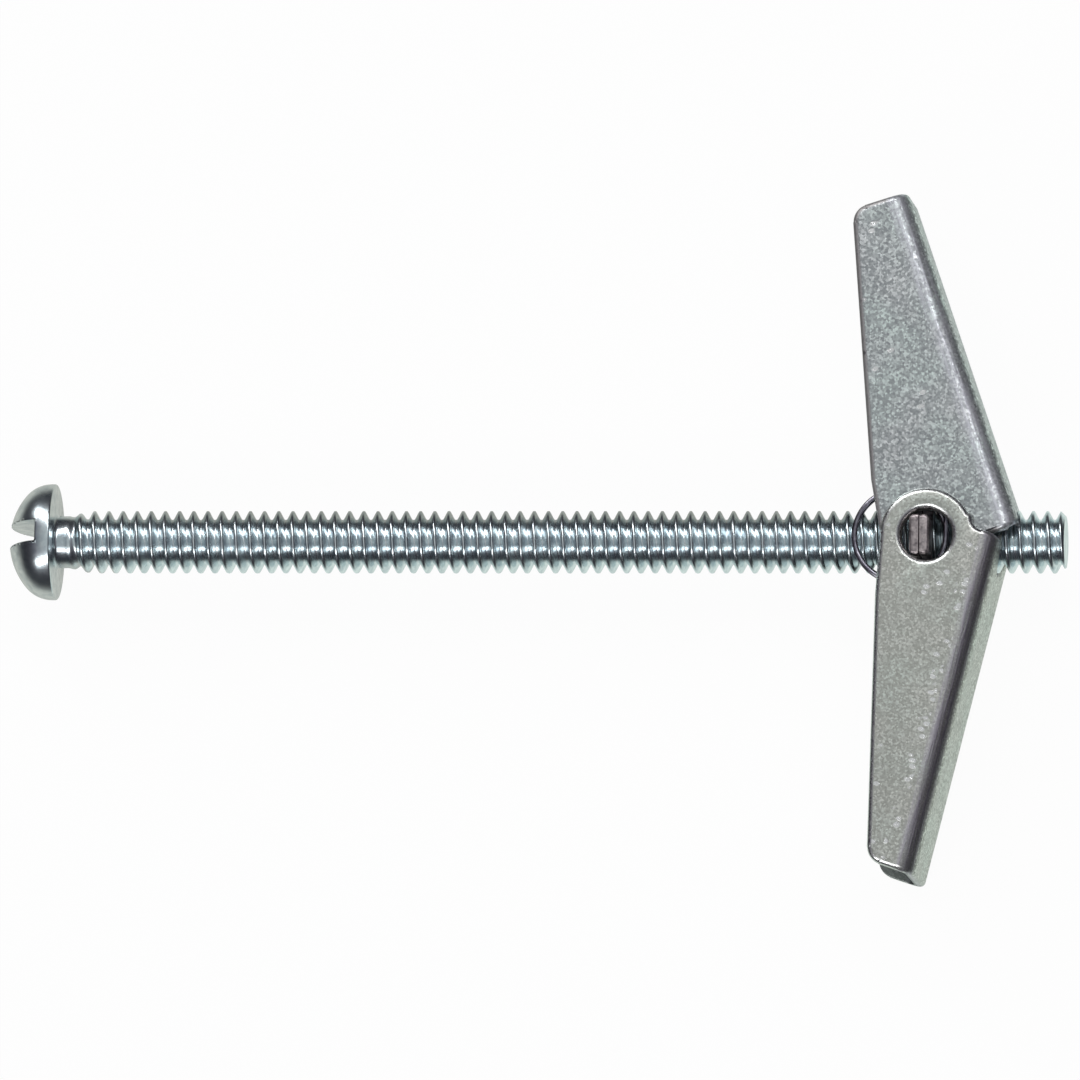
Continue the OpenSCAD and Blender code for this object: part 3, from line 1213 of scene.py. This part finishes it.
@dataclass
class Studio:
    """A pale bench, a dim room and two long soft lamps, with the camera high over the bolt.

    The camera sees the bench as white. Metal mirrors its glow instead, which is dimmer on the
    shank's far side and dark at a low slant.
    """

    floor_z: float
    centre: Vector
    toward: Vector = field(default_factory=lambda: Vector((0.118, -0.130, 0.9845)))
    aim: Vector = field(default_factory=lambda: Vector((36.06, 0.17, 0.0)) * MM)
    distance: float = 1.4
    frame_width: float = 79.83 * MM
    clip: Span = (0.05, 10.0)
    bench_size: float = 3.0
    bench_paint: Colour = (0.86, 0.86, 0.86)
    white_share: float = 0.96
    shank_start: Span = (3 * MM, 5 * MM)
    shank_end: Span = (58 * MM, 64 * MM)
    shank_side: Span = (-1 * MM, 2 * MM)
    low_slant: Span = (0.30, 0.76)
    head_glow: Colour = (0.60, 0.60, 0.55)
    shank_glow: Colour = (0.77, 0.84, 0.79)
    far_glow: Colour = (0.40, 0.40, 0.36)
    dark_glow: Colour = (0.04, 0.04, 0.045)

    def build_bench(self) -> bpy.types.Object:
        """Lays the bench top under the bolt.

        Returns:
            The bench.
        """
        mesh = bmesh.new()
        place = Matrix.Translation((self.centre.x, self.centre.y, self.floor_z))
        half = self.bench_size / 2
        bmesh.ops.create_grid(mesh, x_segments=1, y_segments=1, size=half, matrix=place)
        bench = Shape.from_bmesh("bench", mesh)
        paint = bpy.data.materials.new("bench_white")
        graph = Graph.fresh(paint)
        matt = graph.out("ShaderNodeBsdfDiffuse", sockets={"Color": self.bench_paint})
        white = graph.out("ShaderNodeEmission", sockets={"Color": (1, 1, 1)})
        slant = graph.out("ShaderNodeLayerWeight", "Facing", None, {"Blend": 0.5})
        spot = graph.out("ShaderNodeTexCoord", "Object")
        x, y = spot.part("X"), spot.part("Y")
        past_head = x.ramped(*self.shank_start)
        far_side = past_head * (1.0 - x.ramped(*self.shank_end)) * y.ramped(*self.shank_side)
        long_way = graph.mix(past_head, self.head_glow, self.shank_glow)
        near = graph.mix(far_side, long_way, self.far_glow)
        pale = graph.mix(slant.eased(*self.low_slant), near, self.dark_glow)
        sheen = graph.out("ShaderNodeEmission", sockets={"Color": pale})
        seen = graph.out("ShaderNodeLightPath", "Is Camera Ray")
        mirrored = graph.out("ShaderNodeLightPath", "Is Glossy Ray")
        through = graph.out("ShaderNodeLightPath", "Is Transmission Ray")
        lit = graph.out("ShaderNodeMixShader", sockets={0: mirrored, 1: matt, 2: sheen})
        share = (seen + through).least(1.0) * self.white_share
        mixed = graph.out("ShaderNodeMixShader", sockets={0: share, 1: lit, 2: white})
        graph.node("ShaderNodeOutputMaterial", None, {"Surface": mixed})
        bench.data.materials.append(paint)
        return bench

    def build_sky(self) -> None:
        """Sets the room: white to the camera, dim walls and a grey ceiling to everything else."""
        world = bpy.data.worlds.new("studio_sky")
        bpy.context.scene.world = world
        graph = Graph.fresh(world)
        height = graph.out("ShaderNodeTexCoord", "Generated").part("Z")
        stops = [
            (0.0, (0.02, 0.02, 0.025)),
            (0.50, (0.05, 0.045, 0.055)),
            (0.72, (0.14, 0.13, 0.155)),
            (0.88, (0.28, 0.29, 0.30)),
            (1.0, (0.52, 0.54, 0.54)),
        ]
        room = graph.out("ShaderNodeValToRGB", 0, {"stops": stops}, {0: height})
        plain = graph.out("ShaderNodeBackground", sockets={"Color": (1, 1, 1)})
        lit = graph.out("ShaderNodeBackground", sockets={"Color": room})
        seen = graph.out("ShaderNodeLightPath", "Is Camera Ray")
        mixed = graph.out("ShaderNodeMixShader", sockets={0: seen, 1: lit, 2: plain})
        graph.node("ShaderNodeOutputWorld", None, {"Surface": mixed})

    def build_lamp(
        self, name: str, start: Vector, end: Vector, width: float, radiance: float
    ) -> None:
        """Hangs a long soft lamp that faces the bolt.

        Args:
            name: The lamp's name.
            start: One end, from the bolt's middle, in metres.
            end: The other end.
            width: Its width in metres.
            radiance: How bright its face is, where 1 is white paper.
        """
        lamp = bpy.data.lights.new(name, "AREA")
        lamp.shape = "RECTANGLE"
        lamp.size, lamp.size_y = (end - start).length, width
        lamp.energy = radiance * math.pi * lamp.size * lamp.size_y
        hung = bpy.data.objects.new(name, lamp)
        across = (end - start).normalized()
        middle = (start + end) / 2
        away = (middle - across * middle.dot(across)).normalized()
        turn = Matrix((across, away.cross(across), away)).transposed().to_4x4()
        hung.matrix_world = Matrix.Translation(self.centre + middle) @ turn
        bpy.context.scene.collection.objects.link(hung)

    def build_camera(self) -> None:
        """Sets the long-lens camera at the viewing angle, the screw level in the frame."""
        away = self.toward.normalized()
        right = (Vector((1, 0, 0)) - away * away.x).normalized()
        up = away.cross(right)
        data = bpy.data.cameras.new("camera")
        data.lens = data.sensor_width * self.distance / self.frame_width
        data.clip_start, data.clip_end = self.clip
        camera = bpy.data.objects.new("camera", data)
        turn = Matrix((right, up, away)).transposed().to_4x4()
        camera.matrix_world = Matrix.Translation(self.aim + away * self.distance) @ turn
        bpy.context.scene.collection.objects.link(camera)
        bpy.context.scene.camera = camera

    def build(self) -> None:
        """Builds the bench, sky, lamps and camera."""
        self.build_bench()
        self.build_sky()
        start, end = Vector((-0.40, 0.44, 0.18)), Vector((0.42, 0.29, 0.75))
        self.build_lamp("strip_far", start, end, width=0.10, radiance=8.0)
        start, end = Vector((-0.36, -0.37, 0.26)), Vector((0.10, -0.36, 0.52))
        self.build_lamp("strip_near", start, end, width=0.08, radiance=8.0)
        self.build_camera()
        bpy.context.scene.view_settings.view_transform = "Standard"


def dress_wings(hinge: Vector) -> None:
    """Builds the two wings, each with its own channel and finish.

    Args:
        hinge: The hinge axis at the screw's height.
    """
    outer = WingForm(
        web_angle=13.74,
        heel=5.52 * MM,
        bend_r=1.5 * MM,
        flank=-1.0,
        heel_start=0.14 * MM,
        heel_spread=0.28 * MM,
    )
    inner = WingForm(
        web_angle=19.18,
        heel=6.9 * MM,
        bend_r=1.25 * MM,
        flank=1.0,
        heel_start=0.6 * MM,
        heel_spread=0.32 * MM,
    )
    smooth = SpangledZinc(
        "smooth_zinc_sheet",
        tuple(outer.out()),
        hinge.dot(outer.out()),
        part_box("outer_wing")[1][2],
        dark=(0.36, 0.37, 0.34),
        light_warm=(0.88, 0.88, 0.83),
        light_cool=(0.82, 0.88, 0.82),
        grain=0.14 * MM,
        cloud_share=0.18,
        bend_zone_from=4.3 * MM,
        bend_zone_to=5.35 * MM,
        # darker colour: painted shade at the outer wing's bend, with its press streaks
        streak_and_bend_shading=(0.46, 0.43, 0.50),
        streak_and_bend_shading_share=0.8,
        bend_chalk=0.0,
        rubbed_and_dimmed_edge=(0.86, 0.88, 0.87),
        polish=0.08,
        scar_at=3.25 * MM,
        scar_share=0.7,
    )
    spangled = SpangledZinc(
        "spangled_zinc_sheet",
        tuple(inner.out()),
        hinge.dot(inner.out()),
        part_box("inner_wing")[1][2],
    )
    Wing(Side.OUTER, outer, smooth, hinge).dress()
    Wing(Side.INNER, inner, spangled, hinge).dress()


def main() -> None:
    """Builds the pieces in order, then the studio."""
    logging.basicConfig(level=logging.INFO, format="%(name)s %(message)s")
    joint = next(j for j in frame["joints"] if j["name"] == "inner_wing_fold")
    hinge = Vector(joint["pos_m"])
    seam_setback = 0.54 * MM
    Screw(BrightZinc("bright_zinc")).dress()
    Nut(PressedSteel("pressed_steel"), seam_x=hinge.x - seam_setback).dress()
    dress_wings(hinge)
    Spring(SpringWire("spring_wire"), hinge).dress()
    low, high = cad_box
    Studio(floor_z=low.z, centre=(low + high) / 2).build()


if __name__ == "__main__":
    main()
